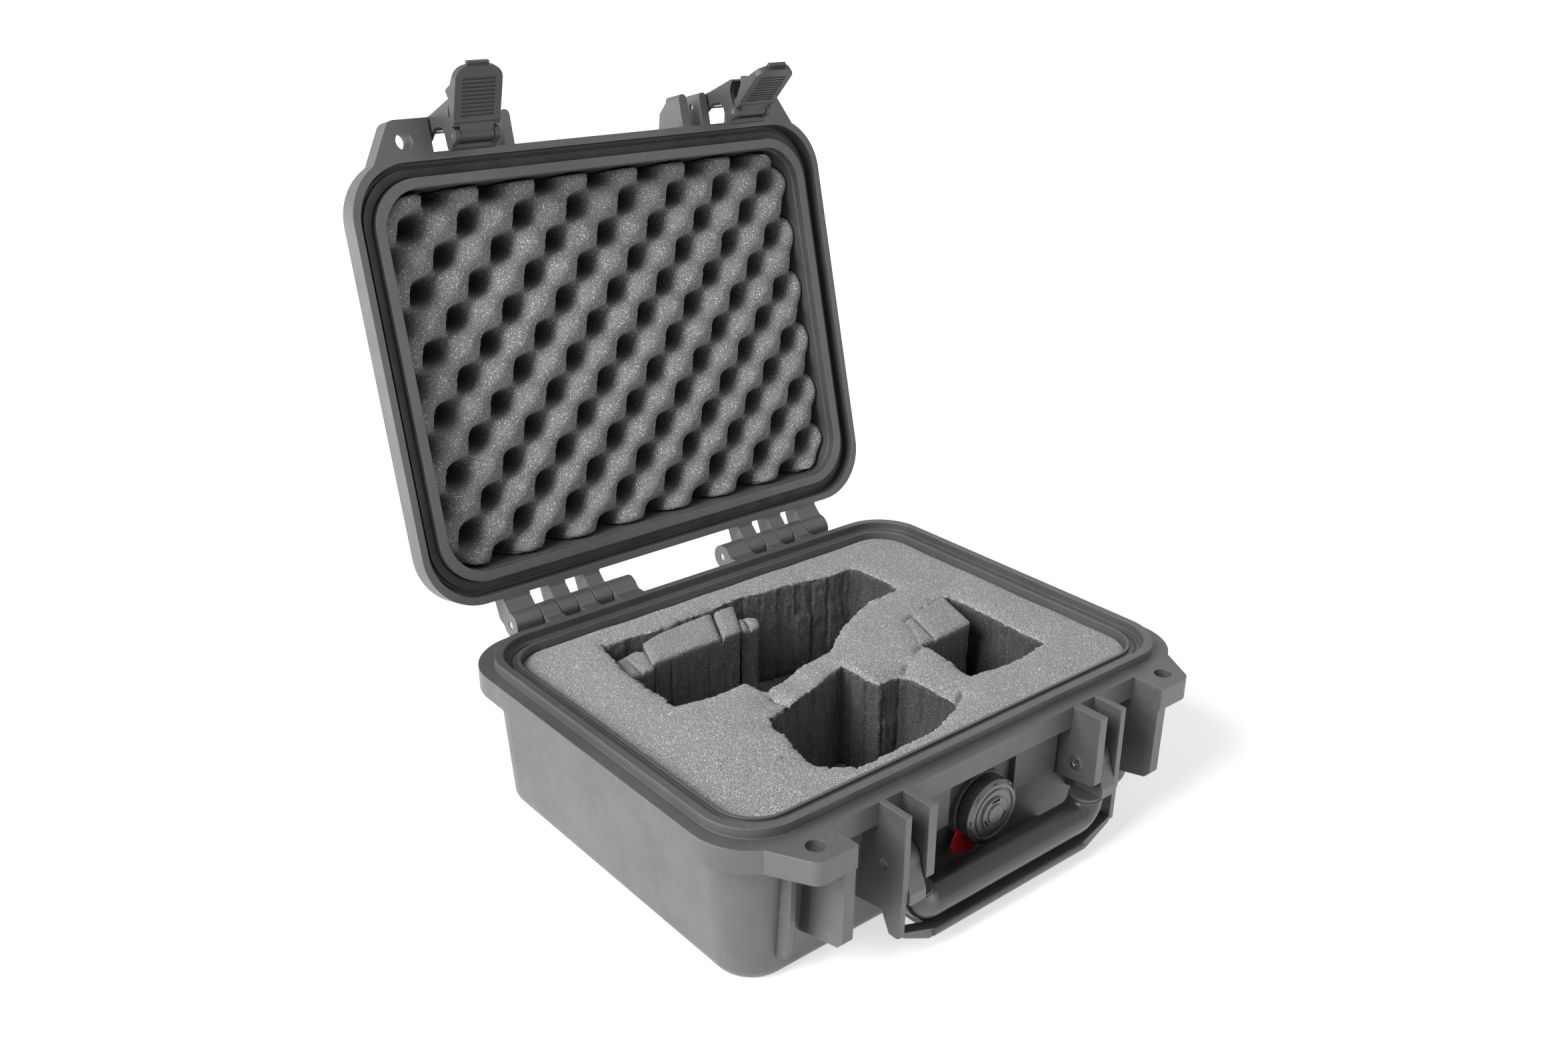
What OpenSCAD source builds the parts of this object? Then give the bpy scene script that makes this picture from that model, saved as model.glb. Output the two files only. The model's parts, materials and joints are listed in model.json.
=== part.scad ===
// Small moulded protective case standing open: base and lid shells on two hinge groups,
// foam inserts, two draw latches, a folding carry handle and a pressure valve.
// Lengths in millimetres, angles in degrees. x runs to the right, -y to the front, z up;
// the origin is the middle of the flat underside of the base.

/* [Case body] */
// width across the rim flange
case_w = 270; // [240:1:330]
// depth across the rim flange, without hinges and latches
case_d = 209; // [180:1:260]
// height of the base from the underside to the parting face
base_h = 72; // [66:1:110]
// height of the closed lid above the parting face
lid_h = 42; // [36:1:60]
// corner radius of the rim flange in plan
rim_r = 28; // [24:1:36]
// distance from the rim edge in to the inner wall of the base
rim_in = 16.5; // [15.5:0.5:20]
// height of the thick skirt below the base rim
skirt_h = 10.5; // [9:0.5:13]
// overhang of the skirt beyond the outer wall
skirt_out = 7.9; // [6:0.1:9]
// draft of the base walls over their full height
base_draft = 4; // [1:0.5:6]
// floor thickness
floor_t = 5; // [3:0.5:8]

/* [Lid opening and hinges] */
// angle the lid stands open
lid_open = 104; // [60:1:110]
// hinge axis behind the rim flange
hinge_out = 13.2; // [12.5:0.1:16]
// hinge axis below the parting face
hinge_drop = 2; // [1:0.5:4]
// outer radius of the hinge knuckles
knuckle_r = 6.5; // [5.5:0.1:7]
// inner end of each hinge group from the middle
hinge_x0 = 29; // [24:1:40]
// length of each hinge group
hinge_len = 70; // [58:1:80]
// hinge pin diameter
hinge_pin_d = 4; // [3:0.5:5]

/* [Latches] */
// middle of each latch in from the side of the case
latch_inset = 56.4; // [54:0.2:60]
// width of the latch links
link_w = 22.4; // [20:0.2:22.6]
// width of the latch levers
lever_w = 23.4; // [21:0.2:23.6]
// length of the latch levers
lever_len = 31; // [26:0.5:36]
// angle the left link has swung in from hanging straight
link_swing_left = 10; // [0:1:12]
// angle the right link has swung in from hanging straight
link_swing_right = 12; // [0:1:12]
// angle the left lever is thrown out from its folded place
lever_open_left = 60; // [0:1:60]
// angle the right lever is thrown out from its folded place
lever_open_right = 32; // [0:1:60]
// how far the padlock lugs stand out past the rim
lug_out = 15.4; // [14:0.2:18]
// padlock hole diameter
padlock_d = 8; // [6:0.5:9]

/* [Handle] */
// handle pivot below the parting face
handle_drop = 26.5; // [25:0.1:28]
// diameter of the hand grip
grip_d = 15.2; // [12:0.2:16]
// drop from the handle pivot to the grip when folded
handle_len = 24; // [23.6:0.1:27]
// handle pin diameter
handle_pin_d = 4; // [3:0.5:5]

/* [Valve] */
// valve knob diameter
knob_d = 30; // [26.4:0.2:30.4]
// height of the valve axis below the parting face
valve_drop = 32.5; // [31:0.5:33]

/* [Foam] */
// thickness of the solid pad on the floor
pad_t = 12; // [8:1:20]
// thickness of the lid foam, from the lid to the tips of its mounds
lid_foam_t = 32; // [20:1:32]
// how far the row of cubes left in the back hollow stays below the foam's top
shelf_drop = 2.6; // [1:0.2:20]

/* [Hidden] */
$fn = 48;
e = 0.01;
W = case_w / 2;
D = case_d / 2;
P = base_h;
gap = 0.3;              // lid face above the base face when shut
run = 0.05;             // running clearance of a shaft in its hole
ix = W - rim_in;        // inner wall of the base at the rim
iy = D - rim_in;
ir = rim_r - 10;
wx = W - skirt_out;     // outer wall under the skirt
wy = D - skirt_out;
wr = rim_r - 6;
hy = D + hinge_out;     // hinge axis
hz = P - hinge_drop;
lx = W - latch_inset;   // latch middle
py = -(D + 9.8);        // latch pin axis
pz = P + 8;
link_in = 12;           // swing of a link from hanging straight to latched
hub_in = link_w - 5.2;  // space between the link plates
vz = P - valve_drop;    // valve axis
vy = -(wy + 1.9);       // valve seat face
hpy = -(D + 4.1);       // handle pivot
hpz = P - handle_drop;
rib_t = 3;
bay = max(link_w / 2 + 0.8, lever_w / 2 + 0.3); // half the clear width between the ribs beside a latch
lug_plate_t = 5.4;
arm_w = 8.6;
rib_b = lx - bay - 0.4 - rib_t;             // base rib between latch and handle arm
ax = rib_b - 0.3 - arm_w / 2;               // middle of a handle arm
rib_c_t = 4.4;
rib_c = ax - arm_w / 2 - 0.7 - rib_c_t;     // base rib on the inner side of the arm
rib_b_z = hpz - 18.5;                       // lower ends of these ribs
rib_c_z = hpz - 8.3;
gr = grip_d / 2;
collar = 1;             // hard ends of the grip's sleeve
gx = ax + arm_w / 2 - 2.6 - gr;             // middle of the upright part of the grip
gz = hpz - handle_len;  // grip axis when folded
gy = hpy + 3.2 - gr;
bend = max(handle_len - 15.3, gr + 0.6);    // centre-line radius of the grip bends
leg_top = gz + bend + 0.4;                  // top of the sleeve
guard_z = max(gz - gr - 3.1, 1.5);          // top of the guard under the grip
guard_t = min(3.4, guard_z - 0.5);
flange_r = 12;          // valve body flange
skirt_r = flange_r + 0.3;                   // hollow of the knob around that flange
fin_t = 5;                                  // lid ribs, round at their outer ends
lid_rib_b = lx - bay - 0.2 - fin_t;         // lid rib beside the latch
lid_rib_c = lid_rib_b - 12.6;
lid_skirt = 11.5;
roof_t = 3.5;
knuckles = 6;
end_k = 15;             // end knuckle length
mid_k = (hinge_len - 2 * end_k) / (knuckles - 2);
foam_top = P - 1.5;

// ---- plan outlines and rounded blocks ----
module plan(hx, hy2, r) {
  square([2 * hx - 2 * r, 2 * hy2], center = true);
  square([2 * hx, 2 * hy2 - 2 * r], center = true);
  for (i = [-1, 1], j = [-1, 1]) translate([i * (hx - r), j * (hy2 - r)]) circle(r);
}

module slab(hx, hy2, r, z0, z1) {
  translate([0, 0, z0]) linear_extrude(z1 - z0) plan(hx, hy2, r);
}

module ring(o1, r1, o2, r2, z0, z1) {
  difference() {
    slab(W - o1, D - o1, r1, z0, z1);
    slab(W - o2, D - o2, r2, z0 - 1, z1 + 1);
  }
}

// a block whose sides draw in by t0 at z0 and t1 at z1
module taper(hx, hy2, r, z0, z1, t0, t1) {
  cx = hx - r;
  cy = hy2 - r;
  h = z1 - z0;
  translate([0, 0, z0]) {
    for (i = [-1, 1], j = [-1, 1]) translate([i * cx, j * cy, 0]) cylinder(h = h, r1 = r - t0, r2 = r - t1);
    rotate([90, 0, 0]) translate([0, 0, -cy]) linear_extrude(2 * cy)
      polygon([[-hx + t0, 0], [hx - t0, 0], [hx - t1, h], [-hx + t1, h]]);
    rotate([90, 0, 90]) translate([0, 0, -cx]) linear_extrude(2 * cx)
      polygon([[-hy2 + t0, 0], [hy2 - t0, 0], [hy2 - t1, h], [-hy2 + t1, h]]);
  }
}

// a flat plate with a rounded lower edge of radius f, from z = 0 up to f
module round_foot(hx, hy2, r, f) {
  cx = hx - r;
  cy = hy2 - r;
  for (i = [-1, 1], j = [-1, 1]) translate([i * cx, j * cy, 0]) rotate_extrude() {
    square([r - f, f]);
    intersection() {
      translate([r - f, f]) circle(f);
      square([r, f]);
    }
  }
  rotate([90, 0, 0]) translate([0, 0, -cy]) linear_extrude(2 * cy) foot_section(hx, f);
  rotate([90, 0, 90]) translate([0, 0, -cx]) linear_extrude(2 * cx) foot_section(hy2, f);
}

module foot_section(h, f) {
  translate([-h + f, 0]) square([2 * h - 2 * f, f]);
  intersection() {
    for (i = [-1, 1]) translate([i * (h - f), f]) circle(f);
    translate([-h, 0]) square([2 * h, f]);
  }
}

// an outline drawn in (y, z), given thickness along x from x0 to x1
module wall_x(x0, x1) {
  translate([x0, 0, 0]) rotate([90, 0, 90]) linear_extrude(x1 - x0) children();
}

module bar_x(x0, x1, y, z, r) {
  translate([x0, y, z]) rotate([0, 90, 0]) cylinder(h = x1 - x0, r = r);
}

module both() {
  children();
  mirror([1, 0, 0]) children();
}

// ---- hinge ----
// knuckle k of a group counted outward; even knuckles belong to the base
function k_at(k) = hinge_x0 + (k == 0 ? 0 : end_k + (k - 1) * mid_k);
function k_len(k) = (k == 0 || k == knuckles - 1) ? end_k : mid_k;

module base_knuckle_outline() {
  translate([hy, hz]) circle(knuckle_r);
  polygon([[D - 2, P], [D + 6, P], [hy - 2.2, hz + knuckle_r - 0.6], [hy + 4, hz - knuckle_r + 1.4],
    [hy, hz - knuckle_r], [D - 2, P - skirt_h]]);
}

module lid_knuckle_outline() {
  translate([hy, hz]) circle(knuckle_r);
  polygon([[D - 2, P + gap], [D + 1.5, P + gap], [hy - knuckle_r + 0.2, hz - 1.2], [hy, hz],
    [hy + 1, hz + knuckle_r], [hy - 2, P + lid_skirt - 3.5], [D - 2, P + lid_skirt - 1]]);
}

module knuckles(first, outline_of_lid) {
  for (k = [first : 2 : knuckles - 1]) {
    x0 = k_at(k) + 0.25;
    x1 = k_at(k) + k_len(k) - 0.25;
    wall_x(x0, x1) if (outline_of_lid) lid_knuckle_outline(); else base_knuckle_outline();
  }
}

// ---- padlock lug in plan, on the +x side ----
module lug_plan(inner) {
  tip = -(D + lug_out);
  translate([lx + 28.6, tip + 5]) circle(5);
  polygon([[W - 12.3, -D + 7], [lx + 32.9, tip + 2.45], [lx + 28.6, tip], [inner, tip], [inner, -D + 6],
    [W - 30, -D + 12]]);
}

// ---- base ----
module front_rib(x0, t, zlow, corner, zback) {
  wall_x(x0, x0 + t)
    polygon([[-wy + 5, P], [-(D + 15), P], [-(D + 15), zlow + corner + 1.6], [-(D + 13.4), zlow + 1],
      [-(D + 13.4 - corner), zlow + 1 - corner], [-wy + 6, zback]]);
}

module base_outer() {
  round_foot(wx - base_draft, wy - base_draft, wr - base_draft, 7);
  taper(wx, wy, wr, 7, P - skirt_h + e, base_draft, 0);
  slab(W, D, rim_r, P - skirt_h, P);
  ring(6.2, rim_r - 3.2, 9.8, rim_r - 5.4, P - e, P + 4.4);
  slab(W - 9.8 + e, D - 9.8 + e, rim_r - 5.4, P - e, P + 0.3);
  slab(ix + 1.2, iy + 1.2, ir + 1, P, P + 1.8);
}

module base_shell() {
  color([0.21, 0.21, 0.22]) difference() {
    union() {
      base_outer();
      // valve seat
      translate([0, -wy + 8, vz]) rotate([90, 0, 0]) cylinder(h = 8 - wy - vy, r = 16);
    }
    // interior
    taper(ix, iy, ir, floor_t, P + 5, 2, 0);
    // fine groove between the rim ridges
    translate([0, 0, P - 0.7]) linear_extrude(3) difference() {
      plan(W - 12.2, D - 12.2, rim_r - 7);
      plan(W - 13.3, D - 13.3, rim_r - 7.6);
    }
    // valve hole, the nut recess inside and the groove for the seal
    translate([0, vy - 1, vz]) rotate([-90, 0, 0]) cylinder(h = 30, r = 8.6);
    translate([0, -iy - 3, vz]) rotate([-90, 0, 0]) cylinder(h = 20, r = 14.5);
    translate([0, vy - 1, vz]) rotate([-90, 0, 0]) difference() {
      cylinder(h = 1.8, r = 11.3);
      translate([0, 0, -1]) cylinder(h = 4, r = 9.3);
    }
  }
}

// what stands on the outside of the base: moulded in one with the shell
module on_base() {
  color([0.21, 0.21, 0.22]) difference() {
    children();
    base_outer();
  }
}

// padlock lugs, their plates and the thin ribs beneath
module base_latch_lugs() {
  on_base() both() difference() {
    union() {
      translate([0, 0, P - skirt_h]) linear_extrude(skirt_h) lug_plan(lx + bay + 0.6);
      wall_x(lx + bay + 0.6, lx + bay + 0.6 + lug_plate_t)
        polygon([[-wy + 5, P - 1], [-(D + 14.6), P - 1], [-(D + 14), 0.39 * P], [-(D + 11.4), 0.35 * P],
          [-wy + 6, 0.265 * P]]);
      wall_x(lx + 26.2, lx + 29) polygon([[-wy + 6, P - skirt_h + 1], [-D + 3, P - skirt_h + 1],
          [-D + 3.6, 0.45 * P], [-D + 5.8, 0.2 * P], [-wy + 8, 0.13 * P]]);
    }
    translate([lx + 25.4, -(D + 6), P - skirt_h - 5]) cylinder(h = skirt_h + 10, r = padlock_d / 2);
  }
}

// pairs of ribs that hold the handle pins, the posts under the outer ones, and the pads beside the valve
module base_handle_ribs() {
  on_base() both() difference() {
    union() {
      front_rib(rib_b, rib_t, rib_b_z, 3.6, rib_b_z - 6);
      front_rib(rib_c, rib_c_t, rib_c_z, 0.4, rib_c_z - 2.8);
      wall_x(rib_b + 0.4, rib_b + rib_t) polygon([[-(D + 2), rib_b_z], [-(D + 14.6), rib_b_z + 6],
          [-(D + 14.4), guard_z + 4.8], [-(D + 12.6), guard_z + 3.8], [-(D + 8.4), guard_z + 3.8]]);
      wall_x(20, rib_c - 2) polygon([[-wy + 8, P - skirt_h], [-wy - 2.6, P - skirt_h], [-wy - 2.4, P - 33.6],
          [-wy - 0.8, P - 35.4], [-wy + 8, P - 36.6]]);
    }
    bar_x(rib_c - 2, rib_b + rib_t + 2.4, hpy, hpz, handle_pin_d / 2);
  }
}

// ledge that follows the grip, with ends that rise to the posts
module base_foot_guard() {
  long = gx - 6;
  on_base() {
    translate([-long, -(D + 14), guard_z - guard_t]) cube([2 * long, 29, guard_t]);
    bar_x(-long, long, -(D + 14), guard_z - guard_t / 2, guard_t / 2);
    both() translate([0, -(D + 9), 0]) rotate([90, 0, 0]) linear_extrude(5.4)
      polygon([[long - 3, guard_z - guard_t], [long - 1, guard_z], [rib_b + 0.4, guard_z + 6.4],
        [rib_b + 0.4, guard_z + 3.8], [long + 2.5, guard_z - guard_t]]);
  }
}

module base_hinge_knuckles() {
  color([0.21, 0.21, 0.22]) difference() {
    both() knuckles(0, false);
    slab(W, D, rim_r, P - skirt_h - 1, P + 1);
    both() bar_x(hinge_x0 - 1, hinge_x0 + hinge_len + 1, hy, hz, hinge_pin_d / 2);
  }
}

// ---- foam in the base ----
cavity_back = [[-77, 76], [-50, 71.5], [8, 74.5], [61, 66], [74, 66], [77, 61], [77, 32.5], [54, 30], [32, 21],
  [5, 3], [-16, 0.5], [-43, -7.5], [-46, 4], [-66, 4], [-82, 7], [-82, 40]];
cavity_right = [[42.5, -18], [53.5, 3.5], [87, 12], [90.5, 9], [89, -55], [73, -57.5], [55, -57], [38, -54.5]];
cavity_front = [[-57, -25], [0, -10], [0.5, -34], [14, -33], [17, -68], [-6, -77], [-52, -78.5], [-66, -67],
  [-65, -55]];
// cubes left standing in the hollows: outline and how far below the foam's top
cube_row = [[-64, 48.4], [-13.2, 50], [0.2, 72.4], [-11, 73], [-42, 71.4], [-55.5, 67.8]];
cube_low = [[-10.4, 51.1], [-0.6, 51], [3, 56.8], [0, 60], [-4.6, 60.4]];
cube_end = [[-79.8, 47.2], [-65.2, 48], [-59.6, 62.6], [-62.5, 66], [-78.2, 62.5]];
cube_right = [[43, -17.8], [53.9, 3], [86.4, 10.7], [76.6, -16.4], [62, -17]];
fx = (ix - 0.2) / 118.3;
fy = (iy - 0.2) / 87.8;
function spread(pts) = [for (p = pts) [p[0] * fx, p[1] * fy]];

module base_foam_pad() {
  color([0.17, 0.17, 0.18]) taper(ix - 0.2, iy - 0.2, ir, floor_t + 0.1, floor_t + pad_t, 2, 1.6);
}

module base_foam() {
  color([0.3, 0.3, 0.31]) difference() {
    taper(ix - 0.3, iy - 0.3, ir, floor_t + pad_t + 0.1, foam_top, 1.6, 0);
    for (c = [cavity_back, cavity_right, cavity_front])
      translate([0, 0, floor_t + pad_t - 1]) linear_extrude(P) polygon(spread(c));
    translate([0, -iy + 0.1, vz]) rotate([-90, 0, 0]) cylinder(h = 3.2, r = 13.2);
  }
}

module standing(pts, drop) {
  translate([0, 0, floor_t + pad_t + 0.2]) linear_extrude(foam_top - drop - floor_t - pad_t - 0.2) polygon(spread(pts));
}

module foam_offcuts() {
  color([0.2, 0.2, 0.21]) {
    standing(cube_row, shelf_drop);
    standing(cube_low, shelf_drop + 1.6);
    standing(cube_end, shelf_drop + 2);
    standing(cube_right, 0.5);
  }
}

// ---- pins ----
module hinge_pins() {
  color([0.62, 0.62, 0.64]) both() bar_x(hinge_x0 + 0.6, hinge_x0 + hinge_len - 0.6, hy, hz, hinge_pin_d / 2);
}

module handle_pins() {
  color([0.6, 0.6, 0.62]) both() {
    bar_x(rib_c, rib_b + rib_t - 0.6, hpy, hpz, handle_pin_d / 2);
    difference() {
      bar_x(rib_c - 0.9, rib_c, hpy, hpz, handle_pin_d / 2 + 1);
      bar_x(rib_c - 1.4, rib_c - 0.5, hpy, hpz, 1.1);
    }
  }
}

// ---- pressure valve ----
module valve_ring(y0, y1, r) {
  translate([0, y0, vz]) rotate([-90, 0, 0]) cylinder(h = y1 - y0, r = r);
}

module valve_body() {
  color([0.12, 0.12, 0.13]) difference() {
    union() {
      valve_ring(vy - 2.4, vy, flange_r);
      valve_ring(vy - 0.1, -iy + 0.8, 8.5);
    }
    valve_ring(vy - 4, vy + 3.6, 5);
    valve_ring(vy + 3, -iy + 4, 3.6);
  }
}

module valve_nut() {
  color([0.14, 0.14, 0.15]) difference() {
    translate([0, -iy - 2.9, vz]) rotate([-90, 0, 0]) cylinder(h = 3.4, r = 12.6, $fn = 6);
    valve_ring(-iy - 5, -iy + 3, 8.55);
  }
}

module valve_seal() {
  color([0.08, 0.08, 0.08]) difference() {
    valve_ring(vy + 0.05, vy + 0.75, 11.2);
    valve_ring(vy - 1, vy + 2, 9.4);
  }
}

module valve_membrane() {
  color([0.8, 0.8, 0.78]) valve_ring(vy + 3.05, vy + 3.55, 4.95);
}

module valve_tag() {
  color([0.78, 0.12, 0.14]) difference() {
    translate([0, vy, vz]) rotate([90, 0, 0]) linear_extrude(0.8)
      polygon([[-9, -5], [-14.8, -6.6], [-18, -13.8], [-16.4, -16.8], [-5, -20.6], [-2, -18], [-4, -10]]);
    valve_ring(vy - 5, vy + 5, flange_r + 0.2);
  }
}

// the knob hides the flange of the valve body: face, groove, hub with arcs, and a running shaft
module valve_knob() {
  face = vy - 6.4;
  kr = knob_d / 2;
  color([0.07, 0.07, 0.08]) difference() {
    union() {
      valve_ring(vy - 2.7, vy + 2.2, 5 - run);
      difference() {
        valve_ring(face, vy - 1.1, kr);
        valve_ring(vy - 2.7, vy, skirt_r);
      }
      translate([0, face + e, vz]) rotate([90, 0, 0]) cylinder(h = 1.3, r1 = kr, r2 = kr - 1.9);
      valve_ring(face - 2.1, face, 7.6);
      valve_ring(face - 2.7, face, 4.4);
    }
    // groove round the face, and three arc slots in the hub
    difference() {
      valve_ring(face - 3, face - 0.7, kr - 3.4);
      valve_ring(face - 4, face + 1, kr - 4.3);
    }
    for (a = [30 : 120 : 270]) translate([0, face - 3.2, vz]) rotate([0, a, 0]) translate([5.6, 0, -2.2])
      cube([1.1, 2, 4.4]);
    // grip notches in the chamfered edge
    for (a = [0 : 45 : 315]) translate([0, face - 2, vz]) rotate([0, a, 0]) translate([kr - 1.5, 0, -1])
      cube([3, 1.6, 2]);
  }
}

// ---- lid, drawn shut and swung open about the hinge axis ----
module swung() {
  translate([0, hy, hz]) rotate([-lid_open, 0, 0]) translate([0, -hy, -hz]) children();
}

module lid_wall() {
  taper(wx, wy, wr, P + lid_skirt - e, P + lid_h - 9, 0, 2.5);
}

module lid_outer() {
  slab(W, D, rim_r, P + gap, P + lid_skirt);
  lid_wall();
  translate([0, 0, P + lid_h]) mirror([0, 0, 1]) round_foot(wx - 2.5, wy - 2.5, wr - 2.5, 9);
}

module lid_front_rib(x0) {
  wall_x(x0, x0 + fin_t)
    polygon([[-wy + 4, P + gap], [-(D + 13.6), P + gap], [-(D + 13.6), P + 12], [-(D + 9), P + 19],
      [-wy + 4, P + 27]]);
  translate([x0 + fin_t / 2, -(D + 13.6), P + gap]) cylinder(h = 11.7, r = fin_t / 2);
}

module lid_hollow() {
  slab(W - 14.8, D - 14.8, ir + 1.6, P - 1, P + 6);
  taper(W - 15, D - 15, ir + 1.4, P + 5, P + lid_h - roof_t, 0, 2);
  // channel for the seal
  difference() {
    slab(W - 3.4, D - 3.4, rim_r - 2, P - 1, P + 9);
    slab(W - 10.2, D - 10.2, rim_r - 5, P - 2, P + 10);
  }
  // the inner lip stands a little above the outer face
  slab(W - 10.2 + e, D - 10.2 + e, rim_r - 5, P - 1, P + 1.2);
}

module lid_shell() {
  color([0.21, 0.21, 0.22]) swung() difference() {
    union() {
      lid_outer();
      // raised panel and two bars on the outside of the lid
      slab(W - 52, D - 44, 14, P + lid_h - 1, P + lid_h + 1.2);
      both() translate([W - 43, -(D - 44), P + lid_h - 1]) cube([9, 2 * (D - 44), 2.8]);
    }
    lid_hollow();
  }
}

// what stands on the outside of the lid: moulded in one with the shell
module on_lid() {
  color([0.21, 0.21, 0.22]) swung() difference() {
    children();
    slab(W, D, rim_r, P - 1, P + lid_skirt);
    lid_wall();
  }
}

module lid_latch_lugs() {
  on_lid() both() difference() {
    union() {
      translate([0, 0, P + gap]) linear_extrude(9.7) lug_plan(lx + bay);
      wall_x(lx + bay, lx + bay + rib_t) polygon([[-wy + 4, P + 5], [-(D + 15.4), P + 5], [-(D + 14), P + 13],
          [-(D + 8), P + 18], [-wy + 4, P + 26]]);
    }
    translate([lx + 25.4, -(D + 6), P - 5]) cylinder(h = 20, r = padlock_d / 2);
    bar_x(lx, lx + bay + rib_t + 1, py, pz, 1.5);
  }
}

// two ribs beside each latch; the one next to it holds the end of the latch pin
module lid_latch_ribs() {
  on_lid() both() difference() {
    union() {
      lid_front_rib(lid_rib_b);
      lid_front_rib(lid_rib_c);
    }
    bar_x(lid_rib_b - 0.2, lx, py, pz, 1.5);
  }
}

module lid_hinge_knuckles() {
  on_lid() difference() {
    both() knuckles(1, true);
    both() bar_x(hinge_x0 - 1, hinge_x0 + hinge_len + 1, hy, hz, hinge_pin_d / 2 + run);
  }
}

module lid_gasket() {
  color([0.05, 0.05, 0.05]) swung() difference() {
    slab(W - 5, D - 5, rim_r - 2.6, P + 4.9, P + 8.9);
    slab(W - 9.8, D - 9.8, rim_r - 5.2, P, P + 12);
    difference() {
      slab(W - 4, D - 4, rim_r - 2, P, P + 6.6);
      slab(W - 6.2, D - 6.2, rim_r - 3.2, P - 1, P + 8);
    }
  }
}

module lid_foam() {
  top = P + lid_h - roof_t - 0.2;
  color([0.28, 0.28, 0.29]) swung() taper(W - 16, D - 16, ir + 1, max(P + 4, top - lid_foam_t), top, 0, 1.6);
}

module latch_pins() {
  color([0.62, 0.62, 0.64]) swung() both() bar_x(lid_rib_b + 0.6, lx + bay + rib_t - 0.4, py, pz, 1.5);
}

// ---- latches: link outline in (y, z) with the lid pin at (0, 0), hanging straight ----
piv_y = 0.5;            // lever pivot
piv_z = -27;
hook_y = 5.2;           // bar that catches under the skirt of the base
hook_z = -23.4;
cheek_t = 2.4;          // side walls of a lever

module link_plate() {
  circle(4.8);
  translate([piv_y, piv_z]) circle(3.4);
  translate([hook_y, hook_z]) circle(2.2);
  translate([-14.1, -26.2]) circle(0.9);
  polygon([[4.6, -1.4], [-1.4, 4.6], [-4.7, 1], [-8.4, -9.5], [-14.9, -25.8], [-14.1, -27], [-11.2, -25.6],
    [-8.6, -25.2], [-5.4, -26], [-2.6, -27.4], [-1.6, -29.6], [1.9, -30], [4.6, -26.6], [7.2, -24.1], [7.1, -22.5],
    [5.4, -21.2], [2.2, -20.4], [-0.6, -19.5], [-2.4, -17.8], [-2.9, -14.8], [-2.3, -11], [0.4, -6.6]]);
}

module link_back() {
  polygon([[-4.7, 1], [-8.4, -9.5], [-14.9, -25.8], [-14.1, -27], [-12.7, -26], [-6.2, -10], [-3.4, -3.2],
    [-3.6, 3.1]]);
}

module at_link(s) {
  swung() translate([s * lx, py, pz]) rotate([s < 0 ? link_swing_left : link_swing_right, 0, 0]) children();
}

module link(s) {
  color([0.16, 0.16, 0.17]) at_link(s) difference() {
    union() {
      wall_x(-link_w / 2, -hub_in / 2) link_plate();
      wall_x(hub_in / 2, link_w / 2) link_plate();
      wall_x(-link_w / 2, link_w / 2) link_back();
      bar_x(-link_w / 2, link_w / 2, hook_y, hook_z, 2.2);
    }
    bar_x(-20, 20, 0, 0, 1.5 + run);
    bar_x(-20, 20, piv_y, piv_z, 1.25);
  }
}

module lever_pin(s) {
  color([0.62, 0.62, 0.64]) at_link(s) bar_x(-link_w / 2 + 0.1, link_w / 2 - 0.1, piv_y, piv_z, 1.25);
}

// the lever lies along -z from its pivot when folded, inner face towards +y
module lever_cheek() {
  polygon([[1.4, -4.4], [-1.2, -4.4], [-2, -8], [-3.7, -12.6], [-4.3, -15], [-7.2, -17.6], [-6.6, -18.8],
    [-3.4, -21.8], [-2.2, -26], [-1.6, -lever_len], [1.4, -lever_len]]);
}

module lever_face() {
  r = 6;
  translate([-lever_w / 2, -lever_len + r]) square([lever_w, lever_len - r - 4.4]);
  translate([-lever_w / 2 + r, -lever_len]) square([lever_w - 2 * r, lever_len - 4.4]);
  for (i = [-1, 1]) translate([i * (lever_w / 2 - r), -lever_len + r]) circle(r);
}

module lever(s, open) {
  half = hub_in / 2 - 0.35;
  color([0.17, 0.17, 0.18]) at_link(s) translate([0, piv_y, piv_z]) rotate([-link_in - open, 0, 0]) difference() {
    union() {
      intersection() {
        union() {
          wall_x(-lever_w / 2, lever_w / 2)
            polygon([[1.4, -4.4], [-1.2, -4.4], [-1.6, -lever_len], [1.4, -lever_len]]);
          both() wall_x(lever_w / 2 - cheek_t, lever_w / 2) lever_cheek();
        }
        translate([0, 9, 0]) rotate([90, 0, 0]) linear_extrude(20) lever_face();
      }
      bar_x(-half, half, 0, 0, 3);
      wall_x(-half, half) polygon([[-2.4, 1], [-3.4, -6], [1.4, -6], [2.4, 1]]);
      bar_x(-lever_w / 2, lever_w / 2, -0.3, -6.7, 2);
      translate([-5.4, -2.2, -lever_len - 1.6]) cube([10.8, 2, 4]);
    }
    bar_x(-20, 20, 0, 0, 1.25 + run);
    // grip lines across the inner face
    for (k = [0 : 9]) translate([-8.2, 1.4 - 0.55, -9.6 - 1.8 * k]) cube([16.4, 2, 0.8]);
  }
}

module latch_link_left() { link(-1); }
module latch_link_right() { link(1); }
module lever_pin_left() { lever_pin(-1); }
module lever_pin_right() { lever_pin(1); }
module latch_lever_left() { lever(-1, lever_open_left); }
module latch_lever_right() { lever(1, lever_open_right); }

// ---- handle, folded down against the front ----
module bent_rod(r, ztop) {
  both() {
    bar_x(0, gx - bend, gy, gz, r);
    translate([gx - bend, gy, gz + bend]) rotate([90, 0, 0]) rotate([0, 0, -90]) rotate_extrude(angle = 90)
      translate([bend, 0]) circle(r);
    translate([gx, gy, gz + bend]) cylinder(h = ztop - gz - bend, r = r);
  }
}

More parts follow.
